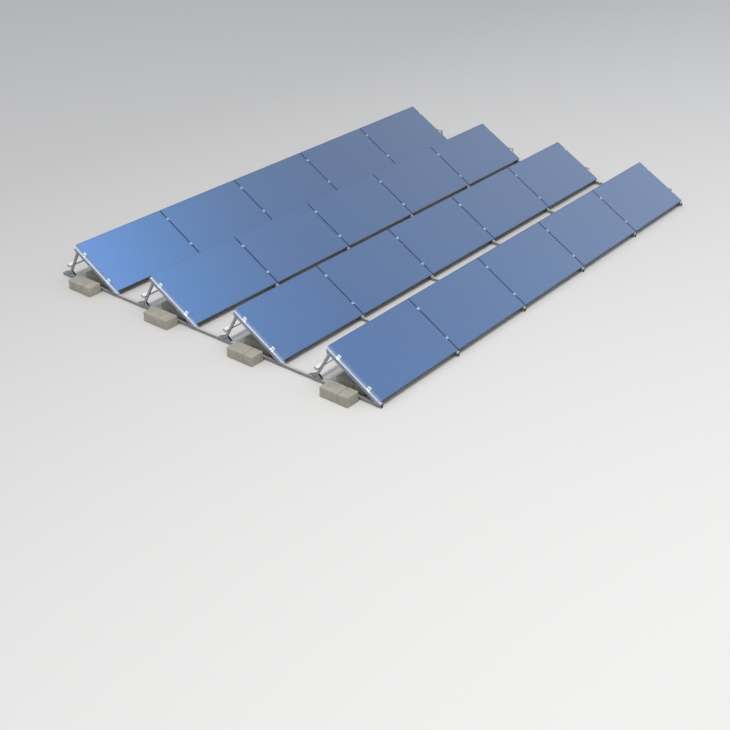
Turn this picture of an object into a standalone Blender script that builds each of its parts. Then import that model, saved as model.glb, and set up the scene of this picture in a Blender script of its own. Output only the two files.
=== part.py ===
"""Ballasted flat-roof mount carrying four tilted rows of framed photovoltaic modules.

Six base rails run from front to rear under the whole array. At every crossing of a
rail and a row stands one triangular support: a tilt rail under the module joint, a leg
square to it, a folded shoe at the leg's foot and a clip at the low end. Concrete blocks
in pans lie on both sides of each base rail, and a cross rail ties the legs of a row.

X runs along the rows, Y from the low front edge to the rear, Z up. The modules face -Y.
The origin is at the middle of the footprint, on the roof surface. Metres.
"""

import math

import bmesh
import bpy
from mathutils import Matrix, Vector

# Array
ROWS = 4
COLUMNS = 5
ROW_PITCH = 1.650
TILT = math.radians(30.0)
LOW_EDGE_HEIGHT = 0.105

# Module
MODULE_LENGTH = 1.670
MODULE_WIDTH = 1.000
MODULE_DEPTH = 0.040
MODULE_GAP = 0.020
FRAME_WALL = 0.0020
FRAME_LIP = 0.003
FRAME_FLANGE = 0.028
GLASS_RECESS = 0.0010
LAMINATE_THICKNESS = 0.005
BOX_LENGTH = 0.110
BOX_WIDTH = 0.080
BOX_HEIGHT = 0.020
BOX_TAPER = 0.006
BOX_FROM_TOP_EDGE = 0.070
GLAND_RADIUS = 0.007
GLAND_LENGTH = 0.014
GLAND_SPACING = 0.060
GLAND_SIDES = 8

# Rails, lipped channels of one wall
RAIL_WALL = 0.0025
BASE_RAIL_WIDTH = 0.044
BASE_RAIL_HEIGHT = 0.044
BASE_RAIL_LIP = 0.012
BASE_RAIL_FRONT_OVERHANG = 0.008
BASE_RAIL_REAR_OVERHANG = 0.150
TILT_RAIL_WIDTH = 0.056
TILT_RAIL_DEPTH = 0.050
TILT_RAIL_LIP = 0.023
TILT_RAIL_TIP = 0.022
TILT_RAIL_HEAD_SETBACK = 0.010

# Leg, square to the tilt rail
LEG_POSITION = 0.920
LEG_WIDTH = 0.030
LEG_THICKNESS = 0.036
LEG_WALL = 0.003
LEG_FOOT_LIFT = 0.004

# Cross rail behind the legs
CROSS_RAIL_WIDTH = 0.050
CROSS_RAIL_HEIGHT = 0.040
CROSS_RAIL_WALL = 0.0025
CROSS_RAIL_DROP = 0.415
CROSS_RAIL_OVERHANG = 0.060

# Brackets, folded from one sheet thickness
BRACKET_SHEET = 0.004
SHOE_LENGTH = 0.240
SHOE_END_HEIGHT = 0.012
SHOE_HEIGHT = 0.062
SHOE_TOP_LENGTH = 0.070
SHOE_WINDOW_LENGTH = 0.046
SHOE_WINDOW_HEIGHT = 0.020
SHOE_WINDOW_SPACING = 0.130
SHOE_WINDOW_SILL = 0.006
CLIP_LENGTH = 0.060
CLIP_START = 0.024
CLIP_BELOW_RAIL_TOP = 0.012
CAP_LENGTH = 0.056
CAP_DROP = 0.034

# Module clamps
MID_CLAMP_LENGTH = 0.036
END_CLAMP_LENGTH = 0.050
CLAMP_LOW = 0.225
CLAMP_HIGH = 0.795
CLAMP_PLATE = 0.004
CLAMP_REACH = 0.012
CLAMP_STEM_WALL = 0.004
END_CLAMP_WIDTH = 0.022

# Ballast
PAN_SHEET = 0.003
PAN_MARGIN = 0.008
BLOCK_WIDTH = 0.225
BLOCK_HEIGHT = 0.147
BLOCK_LENGTH = 0.295
HALF_BLOCK_LENGTH = 0.165
BLOCK_JOINT = 0.006
BLOCK_CHAMFER = 0.007
BLOCK_FROM_LINE = 0.055
BALLAST_FROM_LOW_EDGE = 0.325

# Seats and welds
SEAT_GAP = 0.0003
BITE = 0.0004

# Derived levels and places
LINES = COLUMNS + 1
COLUMN_PITCH = MODULE_LENGTH + MODULE_GAP
BASE_RAIL_BOTTOM = PAN_SHEET + SEAT_GAP
BASE_RAIL_TOP = BASE_RAIL_BOTTOM + BASE_RAIL_HEIGHT
TILT_RAIL_TOP_DEPTH = MODULE_DEPTH + SEAT_GAP
TILT_RAIL_BOTTOM_DEPTH = TILT_RAIL_TOP_DEPTH + TILT_RAIL_DEPTH


def slope_point(distance, depth):
    """(y, z) of a point so far up the slope and so far under the modules' top plane."""
    y = distance * math.cos(TILT) + depth * math.sin(TILT)
    z = LOW_EDGE_HEIGHT + distance * math.sin(TILT) - depth * math.cos(TILT)
    return y, z


def depth_at_height(distance, height):
    """Depth under the top plane at which a line square to the slope reaches a height."""
    return (LOW_EDGE_HEIGHT + distance * math.sin(TILT) - height) / math.cos(TILT)


LEG_FOOT_DEPTH = depth_at_height(LEG_POSITION, BASE_RAIL_TOP)
FOOT_Y = slope_point(LEG_POSITION, LEG_FOOT_DEPTH)[0]
BASE_RAIL_LENGTH = (
    BASE_RAIL_FRONT_OVERHANG + (ROWS - 1) * ROW_PITCH + FOOT_Y + BASE_RAIL_REAR_OVERHANG
)
FIRST_ROW_Y = BASE_RAIL_FRONT_OVERHANG - BASE_RAIL_LENGTH / 2


def line_x(line):
    """X of base rail number line, counted from 0 at the -X end."""
    return (line - COLUMNS / 2) * COLUMN_PITCH


def row_y(row):
    """Y of a row's low edge, counted from 0 at the front."""
    return FIRST_ROW_Y + row * ROW_PITCH


def material(name, colour, roughness, metallic):
    """A Principled material with a linear base colour."""
    made = bpy.data.materials.new(name)
    made.use_nodes = True
    shader = made.node_tree.nodes["Principled BSDF"]
    shader.inputs["Base Color"].default_value = (*colour, 1.0)
    shader.inputs["Roughness"].default_value = roughness
    shader.inputs["Metallic"].default_value = metallic
    made.diffuse_color = (*colour, 1.0)
    return made


def object_from(name, bm):
    """An object whose mesh is bm, with its faces turned outwards."""
    bmesh.ops.recalc_face_normals(bm, faces=bm.faces)
    mesh = bpy.data.meshes.new(name)
    bm.to_mesh(mesh)
    bm.free()
    made = bpy.data.objects.new(name, mesh)
    bpy.context.scene.collection.objects.link(made)
    return made


def prism(name, outline, start, end, placed=Matrix.Identity(4)):
    """A closed outline of (y, z) points extruded along X from start to end."""
    bm = bmesh.new()
    face = bm.faces.new([bm.verts.new((start, y, z)) for y, z in outline])
    pushed = bmesh.ops.extrude_face_region(bm, geom=[face])
    moved = [item for item in pushed["geom"] if isinstance(item, bmesh.types.BMVert)]
    bmesh.ops.translate(bm, verts=moved, vec=(end - start, 0, 0))
    bm.transform(placed)
    return object_from(name, bm)


def extrusion(name, outline, start, end, placed=Matrix.Identity(4)):
    """A closed outline of (x, z) points extruded along Y from start to end."""
    bm = bmesh.new()
    face = bm.faces.new([bm.verts.new((x, start, z)) for x, z in outline])
    pushed = bmesh.ops.extrude_face_region(bm, geom=[face])
    moved = [item for item in pushed["geom"] if isinstance(item, bmesh.types.BMVert)]
    bmesh.ops.translate(bm, verts=moved, vec=(0, end - start, 0))
    bm.transform(placed)
    return object_from(name, bm)


def box(name, low, high, placed=Matrix.Identity(4)):
    """A box between two corners."""
    outline = [(low[1], low[2]), (high[1], low[2]), (high[1], high[2]), (low[1], high[2])]
    return prism(name, outline, low[0], high[0], placed)


def combine(target, tools, operation):
    """Applies one exact Boolean between target and every tool, then removes the tools."""
    group = bpy.data.collections.new("tools")
    for tool in tools:
        group.objects.link(tool)
    modifier = target.modifiers.new(operation.lower(), "BOOLEAN")
    modifier.operation = operation
    modifier.operand_type = "COLLECTION"
    modifier.collection = group
    bpy.context.view_layer.update()
    graph = bpy.context.evaluated_depsgraph_get()
    result = bpy.data.meshes.new_from_object(target.evaluated_get(graph))
    result.name = target.name
    target.modifiers.clear()
    target.data = result
    for tool in tools:
        bpy.data.objects.remove(tool)
    bpy.data.collections.remove(group)
    return target


def merge_coplanar(made):
    """Dissolves the edges that a Boolean leaves inside flat faces."""
    bm = bmesh.new()
    bm.from_mesh(made.data)
    bmesh.ops.dissolve_limit(
        bm, angle_limit=math.radians(0.1), verts=bm.verts, edges=bm.edges
    )
    bm.to_mesh(made.data)
    bm.free()


def lipped_channel(width, height, lip, opening_up):
    """(x, z) outline of a channel with inturned lips, its closed side at z = 0."""
    half = width / 2
    side = [
        (half, 0),
        (half, height),
        (half - lip, height),
        (half - lip, height - RAIL_WALL),
        (half - RAIL_WALL, height - RAIL_WALL),
        (half - RAIL_WALL, RAIL_WALL),
    ]
    outline = side + [(-x, z) for x, z in reversed(side)]
    return outline if opening_up else [(x, -z) for x, z in outline]


def slope_frame(row_start):
    """Matrix from (x, distance up the slope, height over the top plane) to the part."""
    corner = Vector((0, row_start, LOW_EDGE_HEIGHT))
    return Matrix.Translation(corner) @ Matrix.Rotation(TILT, 4, "X")


def module_mesh():
    """Frame, laminate and junction box of one module, its top plane at z = 0."""
    bm = bmesh.new()

    def ring(inset, depth):
        x0, x1 = inset, MODULE_LENGTH - inset
        y0, y1 = inset, MODULE_WIDTH - inset
        corners = [(x0, y0), (x1, y0), (x1, y1), (x0, y1)]
        return [bm.verts.new((x, y, -depth)) for x, y in corners]

    laminate_bottom = GLASS_RECESS + LAMINATE_THICKNESS
    section = [
        (FRAME_LIP, GLASS_RECESS),
        (FRAME_LIP, 0),
        (0, 0),
        (0, MODULE_DEPTH),
        (FRAME_FLANGE, MODULE_DEPTH),
        (FRAME_FLANGE, MODULE_DEPTH - FRAME_WALL),
        (FRAME_WALL, MODULE_DEPTH - FRAME_WALL),
        (FRAME_WALL, laminate_bottom),
    ]
    rings = [ring(inset, depth) for inset, depth in section]
    bm.faces.new(rings[0])
    bm.faces.new(rings[-1])
    for inner, outer in zip(rings, rings[1:]):
        for corner in range(4):
            after = (corner + 1) % 4
            bm.faces.new([inner[corner], inner[after], outer[after], outer[corner]])
    module = object_from("module", bm)
    add_junction_box(module, laminate_bottom)
    merge_coplanar(module)
    return module


def add_junction_box(module, laminate_bottom):
    """Joins the box and its two cable glands to the back of the laminate."""
    middle = MODULE_LENGTH / 2
    upper = MODULE_WIDTH - BOX_FROM_TOP_EDGE
    lower = upper - BOX_WIDTH
    floor = laminate_bottom + BOX_HEIGHT
    outline = [
        (lower, BITE - laminate_bottom),
        (upper, BITE - laminate_bottom),
        (upper - BOX_TAPER, -floor),
        (lower + BOX_TAPER, -floor),
    ]
    tools = [prism("box", outline, middle - BOX_LENGTH / 2, middle + BOX_LENGTH / 2)]
    for side in (-1, 1):
        centre = Vector((middle + side * GLAND_SPACING / 2, lower, -laminate_bottom - BOX_HEIGHT / 2))
        bm = bmesh.new()
        bmesh.ops.create_cone(
            bm,
            cap_ends=True,
            segments=GLAND_SIDES,
            radius1=GLAND_RADIUS,
            radius2=GLAND_RADIUS,
            depth=2 * GLAND_LENGTH,
            matrix=Matrix.Translation(centre) @ Matrix.Rotation(math.pi / 2, 4, "X"),
        )
        tools.append(object_from("gland", bm))
    combine(module, tools, "UNION")


def tilt_rail(frame):
    """Lipped channel under a module joint, mitred to the base rail and cut plumb at its head."""
    outline = lipped_channel(TILT_RAIL_WIDTH, TILT_RAIL_DEPTH, TILT_RAIL_LIP, True)
    lowered = Matrix.Translation((0, 0, -TILT_RAIL_BOTTOM_DEPTH))
    rail = extrusion("tilt_rail", outline, -TILT_RAIL_TIP, MODULE_WIDTH, frame @ lowered)
    reach = MODULE_WIDTH + TILT_RAIL_DEPTH
    cut_height = BASE_RAIL_TOP - BITE
    side = TILT_RAIL_WIDTH
    head, _ = slope_point(MODULE_WIDTH - TILT_RAIL_HEAD_SETBACK, TILT_RAIL_TOP_DEPTH)
    cutters = [
        box("low_cutter", (-side, -reach, cut_height - reach), (side, reach, cut_height)),
        box("head_cutter", (-side, head, cut_height + BITE), (side, head + reach, reach)),
    ]
    return combine(rail, cutters, "DIFFERENCE")


def leg(frame):
    """Square tube from the cap under the tilt rail down to the shoe, open at its foot."""
    half_x = LEG_WIDTH / 2
    half_y = LEG_THICKNESS / 2
    foot = depth_at_height(LEG_POSITION - half_y, BASE_RAIL_TOP + LEG_FOOT_LIFT)
    top = TILT_RAIL_BOTTOM_DEPTH + BRACKET_SHEET - BITE
    tube = box(
        "leg",
        (-half_x, LEG_POSITION - half_y, -foot),
        (half_x, LEG_POSITION + half_y, -top),
        frame,
    )
    bore = box(
        "bore",
        (LEG_WALL - half_x, LEG_POSITION - half_y + LEG_WALL, -foot - LEG_THICKNESS),
        (half_x - LEG_WALL, LEG_POSITION + half_y - LEG_WALL, -top - LEG_WALL),
        frame,
    )
    return combine(tube, [bore], "DIFFERENCE")


def cheek_pair(name, outline, gripped, placed=Matrix.Identity(4)):
    """Two sheet plates of one outline on both sides of a piece as wide as gripped."""
    inner = gripped / 2 - BITE
    outer = gripped / 2 + BRACKET_SHEET
    return [
        prism(name, outline, inner, outer, placed),
        prism(name, outline, -outer, -inner, placed),
    ]


def sole(name, front, rear, width):
    """Foot plate of a folded bracket, on top of the base rail."""
    half = width / 2
    low = BASE_RAIL_TOP - BITE
    return box(name, (-half, front, low), (half, rear, BASE_RAIL_TOP + BRACKET_SHEET))


def shoe():
    """Folded shoe round the leg's foot, with two windows in each cheek."""
    floor = BASE_RAIL_TOP + BRACKET_SHEET - BITE
    crown = BASE_RAIL_TOP + SHOE_HEIGHT
    lean = SHOE_HEIGHT * math.tan(TILT)
    front, rear = FOOT_Y - SHOE_LENGTH / 2, FOOT_Y + SHOE_LENGTH / 2
    outline = [
        (front, floor),
        (rear, floor),
        (rear, BASE_RAIL_TOP + SHOE_END_HEIGHT),
        (FOOT_Y - lean + SHOE_TOP_LENGTH / 2, crown),
        (FOOT_Y - lean - SHOE_TOP_LENGTH / 2, crown),
        (front, BASE_RAIL_TOP + SHOE_END_HEIGHT),
    ]
    cheeks = cheek_pair("shoe", outline, LEG_WIDTH)
    sill = BASE_RAIL_TOP + SHOE_WINDOW_SILL
    for cheek in cheeks:
        windows = []
        for side in (-1, 1):
            middle = FOOT_Y + side * SHOE_WINDOW_SPACING / 2
            outer = middle + side * SHOE_WINDOW_LENGTH / 2
            inner = middle - side * SHOE_WINDOW_LENGTH / 2
            window = [
                (outer, sill),
                (inner, sill),
                (inner, sill + SHOE_WINDOW_HEIGHT),
                (middle, sill + SHOE_WINDOW_HEIGHT),
            ]
            windows.append(prism("window", window, -BASE_RAIL_WIDTH, BASE_RAIL_WIDTH))
        combine(cheek, windows, "DIFFERENCE")
    return cheeks + [sole("shoe_sole", front, rear, BASE_RAIL_WIDTH)]


def clip():
    """Folded clip that holds the tilt rail's low end to the base rail."""
    depth = TILT_RAIL_TOP_DEPTH + CLIP_BELOW_RAIL_TOP
    front = CLIP_START
    rear = CLIP_START + CLIP_LENGTH

    def height(y):
        distance = (y - depth * math.sin(TILT)) / math.cos(TILT)
        return slope_point(distance, depth)[1]

    floor = BASE_RAIL_TOP + BRACKET_SHEET - BITE
    outline = [(front, floor), (rear, floor), (rear, height(rear)), (front, height(front))]
    width = TILT_RAIL_WIDTH + 2 * BRACKET_SHEET
    return cheek_pair("clip", outline, TILT_RAIL_WIDTH) + [sole("clip_sole", front, rear, width)]


def cap(frame):
    """Folded cap of the leg: a plate under the tilt rail with a cheek on both sides."""
    under = -TILT_RAIL_BOTTOM_DEPTH
    half = CAP_LENGTH / 2
    fold = under - BRACKET_SHEET + BITE
    outline = [
        (LEG_POSITION - half, fold),
        (LEG_POSITION - LEG_THICKNESS / 2, under - CAP_DROP),
        (LEG_POSITION + LEG_THICKNESS / 2, under - CAP_DROP),
        (LEG_POSITION + half, fold),
    ]
    plate = box(
        "cap_plate",
        (-TILT_RAIL_WIDTH / 2, LEG_POSITION - half, under - BRACKET_SHEET),
        (TILT_RAIL_WIDTH / 2, LEG_POSITION + half, under + BITE),
        frame,
    )
    return cheek_pair("cap", outline, LEG_WIDTH, frame) + [plate]


def mid_clamp(frame, distance):
    """T-section clamp that holds the frames on both sides of a module joint."""
    half_gap = MODULE_GAP / 2
    stem = half_gap - SEAT_GAP
    plate = half_gap + CLAMP_REACH
    side = [
        (stem, -TILT_RAIL_TOP_DEPTH - BITE),
        (stem, SEAT_GAP),
        (plate, SEAT_GAP),
        (plate, SEAT_GAP + CLAMP_PLATE),
    ]
    outline = side + [(-x, z) for x, z in reversed(side)]
    start = distance - MID_CLAMP_LENGTH / 2
    return extrusion("mid_clamp", outline, start, start + MID_CLAMP_LENGTH, frame)


def end_clamp(frame, distance, side):
    """Z-section clamp at a row's end; side points from the rail to the open air."""
    edge = MODULE_GAP / 2 - SEAT_GAP
    outer = edge - END_CLAMP_WIDTH
    reach = MODULE_GAP / 2 + CLAMP_REACH
    foot = -TILT_RAIL_TOP_DEPTH - BITE
    tread = CLAMP_STEM_WALL - TILT_RAIL_TOP_DEPTH
    top = SEAT_GAP + CLAMP_PLATE
    outline = [
        (outer, foot),
        (edge, foot),
        (edge, SEAT_GAP),
        (reach, SEAT_GAP),
        (reach, top),
        (edge - CLAMP_STEM_WALL, top),
        (edge - CLAMP_STEM_WALL, tread),
        (outer, tread),
    ]
    outline = [(-side * x, z) for x, z in outline]
    start = distance - END_CLAMP_LENGTH / 2
    return extrusion("end_clamp", outline, start, start + END_CLAMP_LENGTH, frame)


def support_pieces(row_start, side):
    """Every piece of one triangular support; side is -1 or 1 at a row's end, else 0."""
    frame = slope_frame(0)
    pieces = [tilt_rail(frame), leg(frame)]
    pieces += cap(frame) + shoe() + clip()
    for distance in (CLAMP_LOW, CLAMP_HIGH):
        if side:
            pieces.append(end_clamp(frame, distance, side))
        else:
            pieces.append(mid_clamp(frame, distance))
    for piece in pieces:
        piece.data.transform(Matrix.Translation((0, row_start, 0)))
    return pieces


def support_line_mesh(side):
    """One base rail with the supports of every row, as one solid."""
    outline = lipped_channel(BASE_RAIL_WIDTH, BASE_RAIL_HEIGHT, BASE_RAIL_LIP, False)
    raised = Matrix.Translation((0, 0, BASE_RAIL_TOP))
    half = BASE_RAIL_LENGTH / 2
    rail = extrusion("base_rail", outline, -half, half, raised)
    pieces = []
    for row in range(ROWS):
        pieces += support_pieces(row_y(row), side)
    combine(rail, pieces, "UNION")
    merge_coplanar(rail)
    return rail


def cross_rail_mesh():
    """Square-cut tube that ties the legs of one row together."""
    half_length = COLUMNS * COLUMN_PITCH / 2 + CROSS_RAIL_OVERHANG
    near = LEG_POSITION + LEG_THICKNESS / 2 + SEAT_GAP
    far = near + CROSS_RAIL_WIDTH
    low = -CROSS_RAIL_DROP - CROSS_RAIL_HEIGHT / 2
    high = low + CROSS_RAIL_HEIGHT
    wall = CROSS_RAIL_WALL
    tube = box("cross_rail", (-half_length, near, low), (half_length, far, high))
    bore = box(
        "bore",
        (-half_length - wall, near + wall, low + wall),
        (half_length + wall, far - wall, high - wall),
    )
    return combine(tube, [bore], "DIFFERENCE")


def block(x_low, y_low, length):
    """One cast concrete block with chamfered upper edges, standing in the pan."""
    chamfer = BLOCK_CHAMFER
    x_high = x_low + BLOCK_WIDTH
    y_high = y_low + length
    floor = PAN_SHEET - BITE
    top = PAN_SHEET + BLOCK_HEIGHT
    bm = bmesh.new()

    def ring(inset, z):
        x0, x1 = x_low + inset, x_high - inset
        y0, y1 = y_low + inset, y_high - inset
        return [bm.verts.new((x, y, z)) for x, y in ((x0, y0), (x1, y0), (x1, y1), (x0, y1))]

    rings = [ring(0, floor), ring(0, top - chamfer), ring(chamfer, top)]
    bm.faces.new(rings[0])
    bm.faces.new(rings[-1])
    for lower, upper in zip(rings, rings[1:]):
        for corner in range(4):
            after = (corner + 1) % 4
            bm.faces.new([lower[corner], lower[after], upper[after], upper[corner]])
    return object_from("block", bm)


def ballast_mesh():
    """The pan under a base rail with a whole and a half block on each side of it."""
    inner = BLOCK_FROM_LINE
    outer = inner + BLOCK_WIDTH
    front = BALLAST_FROM_LOW_EDGE
    split = front + HALF_BLOCK_LENGTH + BLOCK_JOINT
    rear = split + BLOCK_LENGTH
    pan = box(
        "pan",
        (PAN_MARGIN - outer, front + PAN_MARGIN, 0),
        (outer - PAN_MARGIN, rear - PAN_MARGIN, PAN_SHEET),
    )
    blocks = []
    for x_low in (inner, -outer):
        blocks.append(block(x_low, front, HALF_BLOCK_LENGTH))
        blocks.append(block(x_low, split, BLOCK_LENGTH))
    combine(pan, blocks, "UNION")
    merge_coplanar(pan)
    return pan


def place(name, mesh, finish, matrix):
    """An object of its own that shares a mesh."""
    made = bpy.data.objects.new(name, mesh)
    bpy.context.scene.collection.objects.link(made)
    made.matrix_world = matrix
    if not mesh.materials:
        mesh.materials.append(finish)
    return made


def take_mesh(pattern):
    """The mesh of a pattern object, which is then removed."""
    mesh = pattern.data
    bpy.data.objects.remove(pattern)
    return mesh


def main():
    for old in list(bpy.data.objects):
        bpy.data.objects.remove(old)

    module_finish = material("blue_module", (0.13, 0.25, 0.48), 0.25, 0.0)
    aluminium = material("mill_aluminium", (0.62, 0.64, 0.66), 0.38, 1.0)
    concrete = material("grey_concrete", (0.36, 0.35, 0.31), 0.9, 0.0)

    module = take_mesh(module_mesh())
    cross_rail = take_mesh(cross_rail_mesh())
    ballast = take_mesh(ballast_mesh())
    sides = {0: -1, LINES - 1: 1}
    lines = {side: take_mesh(support_line_mesh(side)) for side in (-1, 0, 1)}

    for line in range(LINES):
        name = f"support_line_{line + 1}"
        place(name, lines[sides.get(line, 0)], aluminium, Matrix.Translation((line_x(line), 0, 0)))
    for row in range(ROWS):
        frame = slope_frame(row_y(row))
        place(f"cross_rail_row_{row + 1}", cross_rail, aluminium, frame)
        for column in range(COLUMNS):
            corner = Matrix.Translation((line_x(column) + MODULE_GAP / 2, 0, 0))
            name = f"module_row_{row + 1}_column_{column + 1}"
            place(name, module, module_finish, corner @ frame)
        for line in range(LINES):
            name = f"ballast_row_{row + 1}_line_{line + 1}"
            place(name, ballast, concrete, Matrix.Translation((line_x(line), row_y(row), 0)))


main()
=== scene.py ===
"""Ballasted flat-roof solar array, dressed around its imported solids.

Metres, +X along the rows, +Y from the low edges to the rear, +Z up; the modules face -Y.
Every piece is worked out at its place in the array, so all objects sit at the origin.
"""

import math

import bpy
import numpy as np
from mathutils import Matrix, Vector
from mathutils.geometry import delaunay_2d_cdt


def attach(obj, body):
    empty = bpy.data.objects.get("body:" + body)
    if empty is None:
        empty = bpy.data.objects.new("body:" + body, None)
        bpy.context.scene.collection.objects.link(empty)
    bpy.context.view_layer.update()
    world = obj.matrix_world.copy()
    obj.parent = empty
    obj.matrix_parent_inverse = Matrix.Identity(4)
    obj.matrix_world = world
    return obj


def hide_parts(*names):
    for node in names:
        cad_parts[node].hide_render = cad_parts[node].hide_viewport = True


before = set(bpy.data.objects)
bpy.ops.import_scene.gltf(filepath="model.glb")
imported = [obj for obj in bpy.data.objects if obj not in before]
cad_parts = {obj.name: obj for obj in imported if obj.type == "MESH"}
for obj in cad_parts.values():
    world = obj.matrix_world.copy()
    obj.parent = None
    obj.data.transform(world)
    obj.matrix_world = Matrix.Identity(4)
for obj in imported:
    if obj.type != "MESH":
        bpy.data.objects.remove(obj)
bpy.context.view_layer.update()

# Array
ROWS, COLUMNS, LINES = 4, 5, 6
ROW_PITCH = 1.650
COLUMN_PITCH = 1.690
TILT = math.radians(30.0)
SIN, COS = math.sin(TILT), math.cos(TILT)
LOW_EDGE_HEIGHT = 0.105

# Fits: the air between pieces that bear on each other, and under a cut end
CLEARANCE, END_CLEARANCE = 0.0003, 0.0004

# Module
MODULE_LENGTH, MODULE_WIDTH, MODULE_DEPTH = 1.670, 1.000, 0.040
MODULE_GAP = 0.020
LIP, SEAL = 0.0014, 0.0042
FRAME_FLANGE = 0.028
GLASS_RECESS = 0.0010
LAMINATE_THICKNESS = 0.005
CELL_PITCH = 0.158
BOX_LENGTH, BOX_WIDTH, BOX_HEIGHT = 0.110, 0.080, 0.020
BOX_FROM_TOP_EDGE = 0.070
LID_SINK, LID_INSET, LID_DEPTH = 0.005, 0.004, 0.007
GLAND_FROM_MIDDLE = 0.030

# Rails and legs
RAIL_WALL = 0.0025
BASE_RAIL_WIDTH, BASE_RAIL_HEIGHT = 0.044, 0.044
BASE_RAIL_BOTTOM = 0.0033
BASE_RAIL_TOP = BASE_RAIL_BOTTOM + BASE_RAIL_HEIGHT
FRONT_OVERHANG, REAR_OVERHANG = 0.008, 0.150
TILT_RAIL_WIDTH, TILT_RAIL_DEPTH, TILT_RAIL_LIP = 0.056, 0.050, 0.023
TILT_RAIL_TOP = MODULE_DEPTH + CLEARANCE
TILT_RAIL_BOTTOM = TILT_RAIL_TOP + TILT_RAIL_DEPTH
TILT_RAIL_TIP, TILT_RAIL_HEAD_SETBACK = 0.022, 0.010
LEG_POSITION, LEG_WIDTH, LEG_THICKNESS, LEG_WALL = 0.920, 0.030, 0.036, 0.003
CROSS_RAIL_WIDTH, CROSS_RAIL_HEIGHT = 0.050, 0.040
CROSS_RAIL_DROP = 0.415
CROSS_RAIL_OVERHANG = 0.060
PLUG, PLUG_CORNER = 0.003, 0.003
STRIP_THICKNESS = 0.0018

# Brackets and clamps
SHEET = 0.004
SHOE_LENGTH, SHOE_HEIGHT, SHOE_TOP_LENGTH, SHOE_END_HEIGHT = 0.240, 0.062, 0.070, 0.012
WINDOW_LENGTH, WINDOW_HEIGHT, WINDOW_SPACING, WINDOW_SILL = 0.046, 0.020, 0.130, 0.006
CLIP_START, CLIP_LENGTH = 0.024, 0.060
CAP_LENGTH, CAP_DROP = 0.056, 0.034
MID_CLAMP_LENGTH, END_CLAMP_LENGTH, CLAMP_REACH, CLAMP_PLATE = 0.036, 0.050, 0.012, 0.004
CLAMP_PLACES = (0.225, 0.795)
CLAMP_BED, CLAMP_BED_WIDTH = 0.0012, 0.020
END_CLAMP_WIDTH, END_CLAMP_WALL, END_SCREW_OFFSET = 0.022, 0.004, 0.0045

# Bolts: where each stands on its cheek, and the size of its head
CAP_BOLT_DROP, CAP_BOLT = 0.018, 0.009
SHOE_BOLT_BACK, SHOE_BOLT_RISE, SHOE_BOLT = 0.020, 0.034, 0.010
CLIP_BOLT_IN, CLIP_BOLT_RISE, CLIP_BOLT = 0.030, 0.013, 0.008

# Ballast
PAN_SHEET, PAN_INSET, PAN_CORNER = 0.003, 0.008, 0.012
RIB_FROM_LINE, RIB_HALF, RIB_END, RIB_TOP = 0.046, 0.0015, 0.02, 0.014
BLOCK_WIDTH, BLOCK_HEIGHT = 0.225, 0.147
BLOCK_LENGTH, HALF_BLOCK_LENGTH, BLOCK_JOINT = 0.295, 0.165, 0.006
BLOCK_FROM_LINE = 0.055
BALLAST_FROM_LOW_EDGE = 0.325
# Round edge, worn band, and how deep the skin is sunk on the faces and in the band
BLOCK_CORNER, WORN_BAND, SKIN_SUNK, BAND_SUNK = 0.006, 0.014, 0.0005, 0.0026


def depth_at_height(distance, height):
    """Depth under the top plane: what is left of the slope's height, over the cosine."""
    return (LOW_EDGE_HEIGHT + distance * SIN - height) / COS


FOOT_DEPTH = depth_at_height(LEG_POSITION, BASE_RAIL_TOP)
FOOT_Y = LEG_POSITION * COS + FOOT_DEPTH * SIN
RAIL_LENGTH = FRONT_OVERHANG + (ROWS - 1) * ROW_PITCH + FOOT_Y + REAR_OVERHANG
FIRST_ROW_Y = FRONT_OVERHANG - RAIL_LENGTH / 2


def line_x(line):
    """Support line's place across the array, the middle of the array at 0."""
    return (line - COLUMNS / 2) * COLUMN_PITCH


def row_y(row):
    """Low edge of a row of modules: the first one, and a pitch for each row behind it."""
    return FIRST_ROW_Y + row * ROW_PITCH


# Cells seen from above, the painted sheen that greys them at a flat angle, the shade of their
# joints and the ribbons' share
CELL_DARK, CELL_LIGHT = "#5177A7", "#567CAC"
SHEEN_DARK, SHEEN_LIGHT = "#5B677C", "#606C81"
JOINT_SHADE, RIBBON = 0.97, 0.07

# Room behind the object, and the even light it sends at the horizon and from high up
ROOM, ROOM_STRENGTH = "#F2F2F2", 0.95
AMBIENT_LOW, AMBIENT_HIGH = 0.36, 0.66
AMBIENT_TINT = "#F2F5FA"
# Floor: half size, level, its seen colour at its front and back with painted shade towards the
# back, what it sends up, and its far fade
FLOOR_REACH, FLOOR_LEVEL = 120.0, -0.0005
PAPER_FRONT_Y, PAPER_BACK_Y = -8.0, 7.0
PAPER_FRONT, PAPER_BACK, PAPER_EVEN = "#EEEEEE", "#CFCFCF", "#DBDAD8"
FADE_START, FADE_END = 19.0, 60.0
# What glass and metal mirror at each height of the room: (sine of the height, colour).
# Grey walls, a bluish window band, grey again and the bluish lamp cloth overhead.
MIRRORED = (
    (0.00, (0.45, 0.45, 0.45)),
    (0.30, (0.60, 0.70, 0.90)),
    (0.48, (0.86, 1.14, 1.69)),
    (0.58, (0.75, 0.94, 1.28)),
    (0.66, (0.63, 0.70, 0.87)),
    (0.72, (0.51, 0.50, 0.55)),
    (0.76, (0.57, 0.57, 0.56)),
    (0.80, (0.62, 0.90, 1.06)),
    (0.84, (1.10, 1.60, 2.68)),
    (0.88, (1.12, 1.62, 2.60)),
    (1.00, (0.75, 0.95, 1.25)),
)
MIRROR_POWER = 2.6
# Lamp: where it hangs, its diameter, its watts and its tint
KEY_PLACE = (-10.0, -9.0, 31.0)
KEY_SIZE = 9.0
KEY_POWER = 5200.0
KEY_TINT = "#FFFAF2"


# Shapes: each is a pair of arrays or lists, the points and the faces


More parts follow.
